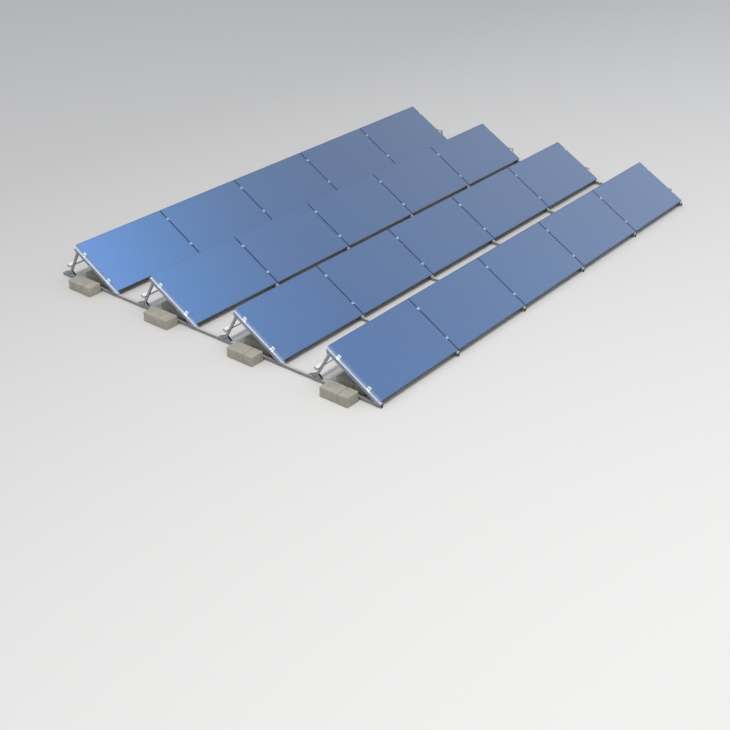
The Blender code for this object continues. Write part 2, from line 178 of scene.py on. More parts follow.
def on_slope(shape, row):
    """(x, up the slope, over the top plane) turned by the tilt about X and set on its row."""
    points, faces = shape
    x, up, over = points[:, 0], points[:, 1], points[:, 2]
    y = row_y(row) + up * COS - over * SIN
    z = LOW_EDGE_HEIGHT + up * SIN + over * COS
    return np.stack([x, y, z], 1), faces


def shifted(shape, x=0.0, y=0.0, z=0.0):
    """The shape moved by (x, y, z)."""
    return shape[0] + np.array([x, y, z]), shape[1]


def joined(shapes):
    """The shapes as one: points end to end, faces renumbered by the points before them."""
    starts = np.cumsum([0] + [len(points) for points, _ in shapes])
    faces = [
        [start + index for index in face]
        for start, (_, shape_faces) in zip(starts.tolist(), shapes)
        for face in shape_faces
    ]
    return np.concatenate([points for points, _ in shapes]), faces


def grid(rows, columns, wrap_rows=False, wrap_columns=False):
    """Quads between neighbours (i, j), (i, j+1), (i+1, j+1), (i+1, j) of a grid of points."""
    i = np.arange(rows if wrap_rows else rows - 1)[:, None]
    j = np.arange(columns if wrap_columns else columns - 1)[None, :]
    after_i, after_j = (i + 1) % rows, (j + 1) % columns
    here, beyond = i * columns, after_i * columns
    quad = [here + j, here + after_j, beyond + after_j, beyond + j]
    return np.stack(np.broadcast_arrays(*quad), -1).reshape(-1, 4).tolist()


def corners(left, low, right, high):
    """Rectangle's corners, anticlockwise from the lower left."""
    return [(left, low), (right, low), (right, high), (left, high)]


def eased(outline, radius, steps=3):
    """Closed outline with soft corners: (1-t)^2 before + 2t(1-t) corner + t^2 after."""
    corner = np.asarray(outline, float)
    back, ahead = np.roll(corner, 1, 0) - corner, np.roll(corner, -1, 0) - corner
    back_length = np.linalg.norm(back, axis=1, keepdims=True)
    ahead_length = np.linalg.norm(ahead, axis=1, keepdims=True)
    before = corner + back / back_length * np.minimum(radius, 0.45 * back_length)
    after = corner + ahead / ahead_length * np.minimum(radius, 0.45 * ahead_length)
    t = np.linspace(0, 1, steps)[:, None, None]
    points = (1 - t) ** 2 * before + 2 * t * (1 - t) * corner + t**2 * after
    return points.transpose(1, 0, 2).reshape(-1, 2)


def extruded(outline, starts, ends):
    """Outline (across, up) carried along Y: point j runs from starts[j] to ends[j]."""
    outline = np.asarray(outline, float)
    count = len(outline)
    along = np.stack([np.broadcast_to(starts, count), np.broadcast_to(ends, count)])
    across = np.broadcast_to(outline[:, 0], (2, count))
    up = np.broadcast_to(outline[:, 1], (2, count))
    points = np.stack([across, along, up], -1).reshape(-1, 3)
    first = list(range(count))
    last = list(range(2 * count - 1, count - 1, -1))
    return points, grid(2, count, wrap_columns=True) + [first[::-1], last[::-1]]


def tube(outer, inner, starts, ends):
    """Two outlines carried along Y, outer facing out and inner facing in, with rims."""
    outer, inner = np.asarray(outer, float), np.asarray(inner, float)
    count = len(outer)
    section = np.stack([outer, inner])
    along = np.stack([np.broadcast_to(starts, count), np.broadcast_to(ends, count)])
    across = np.broadcast_to(section[:, None, :, 0], (2, 2, count))
    up = np.broadcast_to(section[:, None, :, 1], (2, 2, count))
    run = np.broadcast_to(along[None], (2, 2, count))
    points = np.stack([across, run, up], -1).reshape(-1, 3)
    # Rings 0 and 1 are the outer outline's two ends, 2 and 3 the inner one's
    order = [(0, 1), (1, 3), (3, 2), (2, 0)]
    j = np.arange(count)
    after = (j + 1) % count
    faces = [
        np.stack([a * count + j, a * count + after, b * count + after, b * count + j], 1)
        for a, b in order
    ]
    return points, np.concatenate(faces).tolist()


def turned(profile, sides, axis="Z"):
    """Profile (radius, height) turned round an axis: (r cos a, r sin a, h)."""
    profile = np.asarray(profile, float)
    angle = np.arange(sides) * 2 * math.pi / sides
    radius = np.repeat(profile[:, :1], sides, 1)
    height = np.repeat(profile[:, 1:], sides, 1)
    ring = np.stack([radius * np.cos(angle), radius * np.sin(angle), height], -1)
    points = ring.reshape(-1, 3)
    count = len(profile)
    faces = grid(count, sides, wrap_columns=True)
    faces.append(list(range(sides - 1, -1, -1)))
    faces.append(list(range((count - 1) * sides, count * sides)))
    if axis == "X":
        points = points[:, [2, 0, 1]]
    if axis == "Y":
        points = points[:, [1, 2, 0]]
    return points, faces


def soft_box(low, high, radius, spans):
    """Box with round edges: a point of the cube's skin, drawn in to the inner box and
    pushed out again by the radius along the same line."""
    low, high = np.asarray(low, float), np.asarray(high, float)
    middle, half = (low + high) / 2, (high - low) / 2
    bend = np.array([0.0, 0.35, 0.7, 1.0]) * radius
    marks = []
    for axis in range(3):
        flat = np.linspace(-half[axis] + radius, half[axis] - radius, spans[axis] + 1)
        marks.append(np.concatenate([-half[axis] + bend, flat[1:-1], (half[axis] - bend)[::-1]]))
    shapes = []
    for axis in range(3):
        a, b = (axis + 1) % 3, (axis + 2) % 3
        first, second = np.meshgrid(marks[a], marks[b], indexing="ij")
        for side in (-1, 1):
            points = np.empty(first.shape + (3,))
            points[..., a], points[..., b], points[..., axis] = first, second, side * half[axis]
            faces = grid(*first.shape)
            if side < 0:
                faces = [face[::-1] for face in faces]
            shapes.append((points.reshape(-1, 3), [face[::-1] for face in faces]))
    points, faces = joined(shapes)
    inner = np.clip(points, radius - half, half - radius)
    out = points - inner
    points = middle + inner + out / np.linalg.norm(out, axis=1, keepdims=True) * radius
    return points, faces


def plate(loops, low, high, axis="X"):
    """Flat sheet between two levels: constrained triangles fill the first loop but not
    the holes after it, and a wall follows each loop."""
    flat = np.concatenate([np.asarray(loop, float) for loop in loops])
    starts = np.cumsum([0] + [len(loop) for loop in loops])
    edges = []
    for start, loop in zip(starts.tolist(), loops):
        edges += [(start + j, start + (j + 1) % len(loop)) for j in range(len(loop))]
    flat_points, _, fill, _, _, _ = delaunay_2d_cdt(
        [Vector(point) for point in flat], edges, [], 2, 1e-7
    )
    flat_points = np.array([tuple(point) for point in flat_points])
    count = len(flat_points)
    level = np.repeat([low, high], count)
    both = np.concatenate([flat_points, flat_points])
    points = np.column_stack([level, both])
    faces = [[count + index for index in face] for face in fill]
    faces += [list(face)[::-1] for face in fill]
    faces += [[a, b, count + b, count + a] for a, b in edges]
    if axis == "Z":
        points = points[:, [1, 2, 0]]
    return points, faces


def hex_bolt(x, y, z, side, size):
    """Washer and hexagon head on a cheek: two profiles in shares of the size, turned round
    X, one with 20 sides and one with 6."""
    washer = [(size * 1.05, 0), (size * 1.05, size * 0.16), (size * 0.95, size * 0.2)]
    head = [(size * 0.92, size * 0.19), (size * 0.92, size * 0.72), (size * 0.8, size * 0.8)]
    points, faces = joined([turned(washer, 20, "X"), turned(head, 6, "X")])
    if side < 0:
        points, faces = -points, [face[::-1] for face in faces]
    return shifted((points, faces), x, y, z)


# Finishes


def linear(colour):
    """sRGB hex to linear light, the inverse of the display curve, and full alpha."""
    channels = np.array([int(colour[i : i + 2], 16) for i in (1, 3, 5)]) / 255
    low, high = channels / 12.92, ((channels + 0.055) / 1.055) ** 2.4
    return (*np.where(channels <= 0.04045, low, high).tolist(), 1.0)


def add(tree, kind, inputs=None, **settings):
    """Adds a shader node, sets what it is told, and links or sets its inputs by name or
    number. MapRange: 0 is the value, 1 and 2 its range, 3 and 4 the new range, here 0 and 1
    where they aren't given. Mix: 0 is the share of the second colour, 6 and 7 the colours."""
    node = tree.nodes.new("ShaderNode" + kind)
    for name, value in settings.items():
        setattr(node, name, value)
    for key, value in (inputs or {}).items():
        if isinstance(value, bpy.types.NodeSocket):
            tree.links.new(value, node.inputs[key])
        else:
            node.inputs[key].default_value = value
    return node


def blank(name):
    """A material with an empty node tree."""
    material = bpy.data.materials.new(name)
    material.use_nodes = True
    material.node_tree.nodes.clear()
    return material, material.node_tree


def finished(material, surface):
    """The material, its surface taken through one shader to the output."""
    tree = material.node_tree
    shader = add(tree, "BsdfPrincipled", surface)
    add(tree, "OutputMaterial", {0: shader.outputs[0]})
    return material


def extruded_aluminium(name, dark, light, roughness, turn, metallic, grime=(-1.0, -0.9, 1.0)):
    """Extruded aluminium. Fine die lines along the bar and a cloudy skin keep long bars
    from looking painted. Painted shade darkens the faces that look sideways or down: it
    thins out between two slopes of the face, and leaves a share of the colour, by default
    all of it."""
    material, tree = blank(name)
    place = add(tree, "TexCoord").outputs["Object"]
    # Die lines are under a millimetre apart, drawn 3 mm apart so that they show
    along = add(tree, "Mapping", {0: place, "Rotation": turn, "Scale": (330, 1.5, 330)})
    line = add(tree, "TexNoise", {"Vector": along.outputs[0], "Scale": 1.0, "Detail": 2.0})
    cloud = add(tree, "TexNoise", {"Vector": place, "Scale": 9.0, "Detail": 4.0})
    both = add(tree, "Math", {0: line.outputs[0], 1: cloud.outputs[0]}, operation="ADD")
    share = add(tree, "MapRange", {0: both.outputs[0], 1: 0.65, 2: 1.35})
    shades = {0: share.outputs[0], 6: linear(dark), 7: linear(light)}
    skin = add(tree, "Mix", shades, data_type="RGBA")
    # Painted shade: the colour is darker on faces that look sideways or down
    facing = add(tree, "SeparateXYZ", {0: add(tree, "NewGeometry").outputs["Normal"]})
    slopes = {0: facing.outputs[2], 1: grime[0], 2: grime[1], 3: grime[2], 4: 1.0}
    painted_shade_factor = add(tree, "MapRange", slopes)
    side_shaded = {0: skin.outputs[2], "Scale": painted_shade_factor.outputs[0]}
    colour = add(tree, "VectorMath", side_shaded, operation="SCALE")
    uneven = {0: cloud.outputs[0], 1: 0.3, 2: 0.7, 3: roughness - 0.07, 4: roughness + 0.07}
    rough = add(tree, "MapRange", uneven)
    bump = add(tree, "Bump", {"Height": line.outputs[0], "Distance": 0.00012, "Strength": 0.5})
    surface = {"Base Color": colour.outputs[0], "Roughness": rough.outputs[0]}
    surface |= {"Metallic": metallic, "Normal": bump.outputs[0]}
    return finished(material, surface)


def pressed_concrete():
    """Pressed concrete blocks. Sand grains of 2 to 4 mm, open pores, broad stains and
    pale worn edges give the eye a rough, heavy, matt stone."""
    material, tree = blank("pressed_concrete")
    place = add(tree, "TexCoord").outputs["Object"]
    stain = add(tree, "TexNoise", {"Vector": place, "Scale": 7.0, "Detail": 6.0, "Roughness": 0.62})
    sand = {"Vector": place, "Scale": 260.0, "Detail": 3.0, "Roughness": 0.7}
    grain = add(tree, "TexNoise", sand)
    pebble = add(tree, "TexVoronoi", {"Vector": place, "Scale": 120.0})
    pore = add(tree, "TexVoronoi", {"Vector": place, "Scale": 55.0, "Randomness": 1.0})
    wear = add(tree, "Attribute", attribute_name="edge")
    stained = add(tree, "MapRange", {0: stain.outputs[0], 1: 0.32, 2: 0.68})
    stains = {0: stained.outputs[0], 6: linear("#A5A296"), 7: linear("#B9B6AA")}
    ground = add(tree, "Mix", stains, data_type="RGBA")
    # Painted shade: the sand's hollows and the pores, where the bump sinks, are darker
    hollow = add(tree, "MapRange", {0: grain.outputs[0], 1: 0.36, 2: 0.52, 3: 0.55, 4: 0.0})
    hollows = {0: hollow.outputs[0], 6: ground.outputs[2], 7: linear("#8A867A")}
    sandy = add(tree, "Mix", hollows, data_type="RGBA")
    stone = add(tree, "MapRange", {0: pebble.outputs["Distance"], 1: 0.05, 2: 0.28, 3: 0.5, 4: 0.0})
    stones = {0: stone.outputs[0], 6: sandy.outputs[2], 7: linear("#CBC8BC")}
    stony = add(tree, "Mix", stones, data_type="RGBA")
    hole = add(tree, "MapRange", {0: pore.outputs["Distance"], 1: 0.05, 2: 0.13, 3: 1.0, 4: 0.0})
    pores = {0: hole.outputs[0], 6: stony.outputs[2], 7: linear("#4C483E")}
    holed = add(tree, "Mix", pores, data_type="RGBA")
    speck = add(tree, "MapRange", {0: grain.outputs[0], 1: 0.35, 2: 0.65, 3: 0.0, 4: 0.5})
    worn = add(tree, "Math", {0: wear.outputs["Fac"], 1: speck.outputs[0]}, operation="MULTIPLY")
    edges = {0: worn.outputs[0], 6: holed.outputs[2], 7: linear("#C6C2B5")}
    edge = add(tree, "Mix", edges, data_type="RGBA")
    height = add(tree, "Math", {0: grain.outputs[0], 1: hole.outputs[0]}, operation="SUBTRACT")
    bump = add(tree, "Bump", {"Height": height.outputs[0], "Distance": 0.0012, "Strength": 0.8})
    surface = {"Base Color": edge.outputs[2], "Roughness": 0.92, "Normal": bump.outputs[0]}
    return finished(material, surface)


def cell_glass():
    """Toughened glass over blue polycrystalline cells. A clear reflection lies over a matt
    blue field, which is cut into cells of 156 mm; a painted sheen turns it greyer at a flat angle."""
    material, tree = blank("toughened_glass_over_cells")
    face = add(tree, "UVMap", uv_map="metres").outputs[0]
    along = add(tree, "SeparateXYZ", {0: face})
    margins = ((MODULE_LENGTH - 10 * CELL_PITCH) / 2, (MODULE_WIDTH - 6 * CELL_PITCH) / 2)
    joints, borders = [], []
    for axis, (margin, length) in enumerate(zip(margins, (MODULE_LENGTH, MODULE_WIDTH))):
        start = add(tree, "Math", {0: along.outputs[axis], 1: margin}, operation="SUBTRACT")
        half_cell = {0: start.outputs[0], 1: CELL_PITCH / 2}
        joints.append(add(tree, "Math", half_cell, operation="PINGPONG"))
        rim = add(tree, "Math", {0: along.outputs[axis], 1: length / 2}, operation="PINGPONG")
        outside = {0: rim.outputs[0], 1: margin - 0.001, 2: margin + 0.001, 3: 1.0, 4: 0.0}
        borders.append(add(tree, "MapRange", outside))
    either = {0: joints[0].outputs[0], 1: joints[1].outputs[0]}
    nearest = add(tree, "Math", either, operation="MINIMUM")
    joint = add(tree, "MapRange", {0: nearest.outputs[0], 1: 0.0010, 2: 0.0022, 3: 1.0, 4: 0.0})
    either = {0: borders[0].outputs[0], 1: borders[1].outputs[0]}
    border = add(tree, "Math", either, operation="MAXIMUM")
    gaps = add(tree, "Math", {0: joint.outputs[0], 1: border.outputs[0]}, operation="MAXIMUM")
    # Five silver ribbons a cell, each 1.5 mm wide
    pitch = CELL_PITCH / 5
    first = {0: along.outputs[1], 1: margins[1] + pitch / 2}
    start = add(tree, "Math", first, operation="SUBTRACT")
    beside = add(tree, "Math", {0: start.outputs[0], 1: pitch / 2}, operation="PINGPONG")
    ribbon = add(tree, "MapRange", {0: beside.outputs[0], 1: 0.0004, 2: 0.0010, 3: RIBBON, 4: 0.0})
    # Crystals of the silicon are 5 to 20 mm across
    crystal = add(tree, "TexVoronoi", {"Vector": face, "Scale": 75.0})
    tone = add(tree, "SeparateXYZ", {0: crystal.outputs["Color"]})
    from_above = {0: tone.outputs[0], 6: linear(CELL_DARK), 7: linear(CELL_LIGHT)}
    cells = add(tree, "Mix", from_above, data_type="RGBA")
    # Painted sheen: greyer colours at a flat angle stand in for the glass's stronger reflection
    # there
    sheen_colours = {0: tone.outputs[0], 6: linear(SHEEN_DARK), 7: linear(SHEEN_LIGHT)}
    flat = add(tree, "Mix", sheen_colours, data_type="RGBA")
    angle = add(tree, "LayerWeight", {"Blend": 0.5})
    grazing = add(tree, "MapRange", {0: angle.outputs["Facing"], 1: 0.29, 2: 0.49})
    angled = {0: grazing.outputs[0], 6: cells.outputs[2], 7: flat.outputs[2]}
    field = add(tree, "Mix", angled, data_type="RGBA")
    ribbons = {0: ribbon.outputs[0], 6: field.outputs[2], 7: linear("#9DB3D2")}
    barred = add(tree, "Mix", ribbons, data_type="RGBA")
    dimmed = add(tree, "MapRange", {0: gaps.outputs[0], 3: 1.0, 4: JOINT_SHADE})
    shaded = {0: barred.outputs[2], "Scale": dimmed.outputs[0]}
    colour = add(tree, "VectorMath", shaded, operation="SCALE")
    surface = {"Base Color": colour.outputs[0], "Metallic": 0.45, "Roughness": 0.30}
    coat = {"Coat Weight": 1.0, "Coat Roughness": 0.10, "Coat IOR": 1.75}
    return finished(material, {**surface, "Specular IOR Level": 0.3, **coat})


def galvanised_sheet(name, dark, light, roughness):
    """Pressed zinc-coated sheet. Crystals of the coating, 8 to 15 mm across, differ a
    little in shade and shine, so flat plates keep a broken, metallic look."""
    material, tree = blank(name)
    place = add(tree, "TexCoord").outputs["Object"]
    spangle = add(tree, "TexVoronoi", {"Vector": place, "Scale": 90.0})
    tone = add(tree, "SeparateXYZ", {0: spangle.outputs["Color"]})
    shades = {0: tone.outputs[0], 6: linear(dark), 7: linear(light)}
    colour = add(tree, "Mix", shades, data_type="RGBA")
    rough = add(tree, "MapRange", {0: tone.outputs[0], 3: roughness - 0.06, 4: roughness + 0.06})
    surface = {"Base Color": colour.outputs[2], "Roughness": rough.outputs[0], "Metallic": 0.6}
    return finished(material, surface)


def stainless_steel():
    """Turned stainless fasteners. Fine tool marks break the highlight on the small heads."""
    material, tree = blank("turned_stainless_steel")
    place = add(tree, "TexCoord").outputs["Object"]
    mark = add(tree, "TexNoise", {"Vector": place, "Scale": 700.0, "Detail": 2.0})
    shades = {0: mark.outputs[0], 6: linear("#8E9194"), 7: linear("#C2C5C7")}
    colour = add(tree, "Mix", shades, data_type="RGBA")
    surface = {"Base Color": colour.outputs[2], "Roughness": 0.3, "Metallic": 1.0}
    return finished(material, surface)


def moulded_plastic(name, dark, light, roughness):
    """Moulded nylon or poured silicone. A fine spark-eroded grain keeps it matt, so it
    reads as plastic beside the metal."""
    material, tree = blank(name)
    place = add(tree, "TexCoord").outputs["Object"]
    grain = add(tree, "TexNoise", {"Vector": place, "Scale": 900.0, "Detail": 1.0})
    shades = {0: grain.outputs[0], 6: linear(dark), 7: linear(light)}
    colour = add(tree, "Mix", shades, data_type="RGBA")
    bump = add(tree, "Bump", {"Height": grain.outputs[0], "Distance": 0.0002, "Strength": 0.4})
    surface = {"Base Color": colour.outputs[2], "Roughness": roughness, "Normal": bump.outputs[0]}
    return finished(material, surface)


def back_film():
    """Charcoal polyester film laminated to the modules' backs. Faint clouds leave it matt
    and a little uneven, unlike the glass."""
    material, tree = blank("laminated_charcoal_film")
    place = add(tree, "TexCoord").outputs["Object"]
    cloud = add(tree, "TexNoise", {"Vector": place, "Scale": 14.0, "Detail": 3.0})
    shades = {0: cloud.outputs[0], 6: linear("#3C4044"), 7: linear("#484C50")}
    colour = add(tree, "Mix", shades, data_type="RGBA")
    return finished(material, {"Base Color": colour.outputs[2], "Roughness": 0.6})


LEAN = (-TILT, 0.0, 0.0)
UPRIGHT = (math.pi / 2 - TILT, 0.0, 0.0)
LEVEL = (0.0, 0.0, 0.0)
ACROSS = (0.0, 0.0, math.pi / 2)
# In the extruded finishes the last tuple is their painted side shade: the slopes between which it
# thins out, and the share of the colour it leaves
FINISHES = {
    "glass": cell_glass(),
    "film": back_film(),
    # Sealant and frames take the blue of the panes beside them
    "seal": moulded_plastic("poured_grey_silicone", "#566785", "#627391", 0.5),
    "frame": extruded_aluminium(
        "blue_grey_anodised_aluminium", "#8A9FC5", "#95ABD0", 0.25, LEAN, 0.3, (-0.4, -0.1, 0.05)
    ),
    # The frames' sides in the joints, painted darker for the shade in the narrow gaps
    "joint_frame": extruded_aluminium(
        "shaded_joint_anodised_aluminium", "#536CA0", "#5C75A9", 0.5, LEAN, 0.2
    ),
    "tilt_rail": extruded_aluminium(
        "mill_finish_aluminium_sloped", "#DAE3EE", "#E3EAF3", 0.35, LEAN, 0.3, (0.3, 0.7, 0.28)
    ),
    "base_rail": extruded_aluminium(
        "mill_finish_aluminium_level", "#BDBCB8", "#CDCCC8", 0.5, LEVEL, 0.1, (0.3, 0.7, 0.47)
    ),
    "leg": extruded_aluminium(
        "mill_finish_aluminium_upright", "#94979A", "#A9ACAF", 0.35, UPRIGHT, 0.5
    ),
    "cross_rail": extruded_aluminium(
        "drawn_bright_aluminium", "#FAFBFC", "#FFFFFF", 0.35, ACROSS, 0.0, (0.3, 0.7, 0.6)
    ),
    "clamp": extruded_aluminium("bright_anodised_aluminium", "#EAF6F6", "#F6FCFC", 0.3, LEAN, 0.4),
    "mid_clamp": extruded_aluminium(
        "clear_anodised_aluminium", "#B7C9E0", "#C6D6EA", 0.3, LEAN, 0.4
    ),
    "bracket": galvanised_sheet("galvanised_steel_plate", "#A4A8AB", "#B6BABC", 0.4),
    "pan": galvanised_sheet("galvanised_steel_sheet", "#8D9193", "#A0A4A6", 0.5),
    "steel": stainless_steel(),
    "nylon": moulded_plastic("moulded_black_nylon", "#17181A", "#26282B", 0.55),
    "grey_nylon": moulded_plastic("moulded_grey_nylon", "#A9ACAE", "#BBBEC0", 0.5),
    "concrete": pressed_concrete(),
}


def make_piece(name, shapes, nodes, smooth=35, uv=None, edge=None):
    """One object from shapes grouped by finish: {finish: [shape, ...]}. It rides on the
    only body, gives each finish from FINISHES a slot of its own and stands for CAD nodes."""
    groups = [(key, joined(parts)) for key, parts in shapes.items()]
    points, faces = joined([shape for _, shape in groups])
    mesh = bpy.data.meshes.new(name)
    mesh.from_pydata(points.tolist(), [], faces)
    for key, _ in groups:
        mesh.materials.append(FINISHES[key])
    slots = np.repeat(np.arange(len(groups)), [len(shape[1]) for _, shape in groups])
    mesh.polygons.foreach_set("material_index", slots.astype(np.int32))
    if uv is not None:
        corner = np.empty(len(mesh.loops), np.int32)
        mesh.loops.foreach_get("vertex_index", corner)
        layer = mesh.uv_layers.new(name="metres")
        layer.data.foreach_set("uv", uv[corner].astype(np.float32).ravel())
    if edge is not None:
        attribute = mesh.attributes.new("edge", "FLOAT", "POINT")
        attribute.data.foreach_set("value", edge.astype(np.float32))
    mesh.update()
    mesh.validate()
    if smooth:
        mesh.shade_smooth()
        mesh.set_sharp_from_angle(angle=math.radians(smooth))
    piece = bpy.data.objects.new(name, mesh)
    bpy.context.scene.collection.objects.link(piece)
    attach(piece, "root")
    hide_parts(*nodes)


# Modules


def frame_ring():
    """Frame section carried round the module: each section point (inset, height) gives a
    rectangle that far inside the module's outline."""
    wall, groove, ease, foot_ease, pocket = 0.0018, 0.0006, 0.0006, 0.0005, -0.0040
    bottom = -MODULE_DEPTH
    section = [(LIP, pocket), (LIP, -0.0002), (LIP - 0.0003, 0.0), (ease, 0.0), (0.0, -ease)]
    section += [(0.0, -0.010), (groove, -0.0105), (groove, -0.0125), (0.0, -0.013)]
    section += [(0.0, -0.030), (groove, -0.0305), (groove, -0.0325), (0.0, -0.033)]
    section += [(0.0, bottom + foot_ease), (foot_ease, bottom), (FRAME_FLANGE, bottom)]
    section += [(FRAME_FLANGE, bottom + wall), (wall, bottom + wall), (wall, pocket)]
    return ring_from(section)


def ring_from(section):
    """Rectangles inside the module's outline, one for each (inset, height), joined in a ring."""
    section = np.array(section)
    inset, over = section[:, :1], section[:, 1:]
    x = np.hstack([inset, MODULE_LENGTH - inset, MODULE_LENGTH - inset, inset])
    y = np.hstack([inset, inset, MODULE_WIDTH - inset, MODULE_WIDTH - inset])
    points = np.stack([x, y, np.repeat(over, 4, 1)], -1).reshape(-1, 3)
    faces = grid(len(section), 4, wrap_rows=True, wrap_columns=True)
    return points, faces


def sides_of(ring, sides):
    """The faces of a ring on some of its sides, with their own points. Side 0 is the low
    edge, 1 the right one, 2 the high one and 3 the left one."""
    points, faces = ring
    picked = [face for index, face in enumerate(faces) if index % 4 in sides]
    used, places = np.unique(picked, return_inverse=True)
    return points[used], places.reshape(-1, 4).tolist()


def seal_ring():
    """Bead of sealant between the lip and the glass, its top a shallow hollow."""
    section = [(SEAL, -GLASS_RECESS - 0.0030), (SEAL, -GLASS_RECESS + 0.0001), (0.0028, -0.0013)]
    section += [(LIP, -0.0006), (LIP, -GLASS_RECESS - 0.0030)]
    return ring_from(section)


def laminate():
    """Glass with its cells as a thin box that is open behind, and the film as its back:
    four corners in front and the same four behind."""
    sheet = np.array(corners(SEAL, SEAL, MODULE_LENGTH - SEAL, MODULE_WIDTH - SEAL))
    front = np.column_stack([sheet, np.full(4, -GLASS_RECESS)])
    back = np.column_stack([sheet, np.full(4, -GLASS_RECESS - LAMINATE_THICKNESS)])
    rims = [[j, j + 4, (j + 1) % 4 + 4, (j + 1) % 4] for j in range(4)]
    glass = (np.concatenate([front, back]), [[0, 1, 2, 3]] + rims)
    film = (back, [[3, 2, 1, 0]])
    return glass, film


def junction_box():
    """Soft-edged housing with a lid, and two cable glands turned and laid along the slope."""
    top = -GLASS_RECESS - LAMINATE_THICKNESS
    bottom = top - BOX_HEIGHT
    middle, upper = MODULE_LENGTH / 2, MODULE_WIDTH - BOX_FROM_TOP_EDGE
    lower = upper - BOX_WIDTH
    left, right = middle - BOX_LENGTH / 2, middle + BOX_LENGTH / 2
    lid_low = (left + LID_INSET, lower + LID_INSET, bottom)
    lid_high = (right - LID_INSET, upper - LID_INSET, bottom + LID_DEPTH)
    parts = [
        soft_box((left, lower, bottom + LID_SINK), (right, upper, top), 0.003, (1, 1, 1)),
        soft_box(lid_low, lid_high, 0.0025, (1, 1, 1)),
    ]
    gland = [(0.0045, -0.0135), (0.0062, -0.012), (0.0068, -0.007), (0.0068, 0.002)]
    nut = [(0.0078, -0.006), (0.0078, 0.001)]
    for side in (-1, 1):
        place = (middle + side * GLAND_FROM_MIDDLE, lower, top - BOX_HEIGHT / 2)
        parts.append(shifted(turned(gland, 16, "Y"), *place))
        parts.append(shifted(turned(nut, 6, "Y"), *place))
    return joined(parts)


def make_modules():
    """Frame, laminate and junction box of each module. The frame's sides in a joint have
    the darker finish with painted shade, and the sides at the row's ends the lighter one."""
    ring, seal, (glass, film), box = frame_ring(), seal_ring(), laminate(), junction_box()
    uv = np.concatenate([glass[0][:, :2], film[0][:, :2]])
    for row in range(ROWS):
        for column in range(COLUMNS):
            node = f"module_row_{row + 1}_column_{column + 1}"
            mark = f"row_{row + 1}_column_{column + 1}"
            left = line_x(column) + MODULE_GAP / 2
            inner = [side for side, end in ((1, COLUMNS - 1), (3, 0)) if column != end]
            outer = [side for side in range(4) if side not in inner]
            parts = {
                "frame": sides_of(ring, outer),
                "joint_frame": sides_of(ring, inner),
                "seal": seal,
                "glass": glass,
                "film": film,
                "nylon": box,
            }
            placed = {key: [on_slope(shifted(part, left), row)] for key, part in parts.items()}
            rim = {key: placed[key] for key in ("frame", "joint_frame", "seal")}
            pane = {key: placed[key] for key in ("glass", "film")}
            make_piece(f"frame_{mark}", rim, [node], smooth=0)
            make_piece(f"laminate_{mark}", pane, [node], smooth=0, uv=uv)
            make_piece(f"junction_box_{mark}", {"nylon": placed["nylon"]}, [node])


# Rails, legs and brackets


def channel(width, height, lip, groove_at):
    """(across, up) outline of a lipped channel, closed at 0, with a slot pressed into
    each side, its wall as thick there as elsewhere."""
    half, wall = width / 2, RAIL_WALL
    wide, deep, corner = 0.0065, 0.0055, 0.0009
    side = [(half, 0.0), (half, groove_at - wide), (half - deep, groove_at - wide)]
    side += [(half - deep, groove_at + wide), (half, groove_at + wide), (half, height)]
    side += [(half - lip, height), (half - lip, height - wall), (half - wall, height - wall)]
    side += [(half - wall, groove_at + wide + wall), (half - deep - wall, groove_at + wide + wall)]
    side += [(half - deep - wall, groove_at - wide - wall), (half - wall, groove_at - wide - wall)]
    side += [(half - wall, wall)]
    return eased(np.array(side + [(-x, z) for x, z in reversed(side)]), corner, 2)


def base_rail():
    """Channel with its slot downwards, carried through all the rows between its end plugs."""
    outline = channel(BASE_RAIL_WIDTH, BASE_RAIL_HEIGHT, 0.012, BASE_RAIL_HEIGHT / 2)
    outline = np.column_stack([outline[:, 0], BASE_RAIL_TOP - outline[:, 1]])[::-1]
    half = RAIL_LENGTH / 2 - PLUG
    return extruded(outline, -half, half)


def end_plug(width, height, corner, centre, normal_axis, start, end):
    """Plastic plug over a rail's end: a soft rectangle drawn a few millimetres out."""
    half_w, half_h = width / 2, height / 2
    outline = eased(corners(-half_w, -half_h, half_w, half_h), corner, 4)
    shape = extruded(outline + np.asarray(centre), start, end)
    if normal_axis == "X":
        points = shape[0][:, [1, 0, 2]]
        return points, [face[::-1] for face in shape[1]]
    return shape


def head_plane(over):
    """Distance up the slope at which the plumb cut of the tilt rail's head meets a level."""
    head_y = (MODULE_WIDTH - TILT_RAIL_HEAD_SETBACK) * COS + TILT_RAIL_TOP * SIN
    return (head_y + over * SIN) / COS


def tilt_rail():
    """Channel on the slope; each outline point starts where the mitre plane, level with
    the base rail's top, or the blunt tip cuts it, and ends at the plumb cut of the head."""
    outline = channel(TILT_RAIL_WIDTH, TILT_RAIL_DEPTH, TILT_RAIL_LIP, TILT_RAIL_DEPTH / 2)
    over = outline[:, 1] - TILT_RAIL_BOTTOM
    mitre = (BASE_RAIL_TOP + CLEARANCE - LOW_EDGE_HEIGHT - over * COS) / SIN
    starts = np.maximum(mitre, PLUG - TILT_RAIL_TIP)
    outline = np.column_stack([outline[:, 0], over])
    return extruded(outline, starts, head_plane(over) - PLUG)


def slot_cover():
    """Strip snapped into the slot on top of the tilt rail, flush with its lips."""
    half, top = TILT_RAIL_WIDTH / 2 - TILT_RAIL_LIP - CLEARANCE, -TILT_RAIL_TOP - END_CLEARANCE
    outline = corners(-half, top - STRIP_THICKNESS, half, top)
    return extruded(outline, PLUG - TILT_RAIL_TIP, head_plane(top) - PLUG)


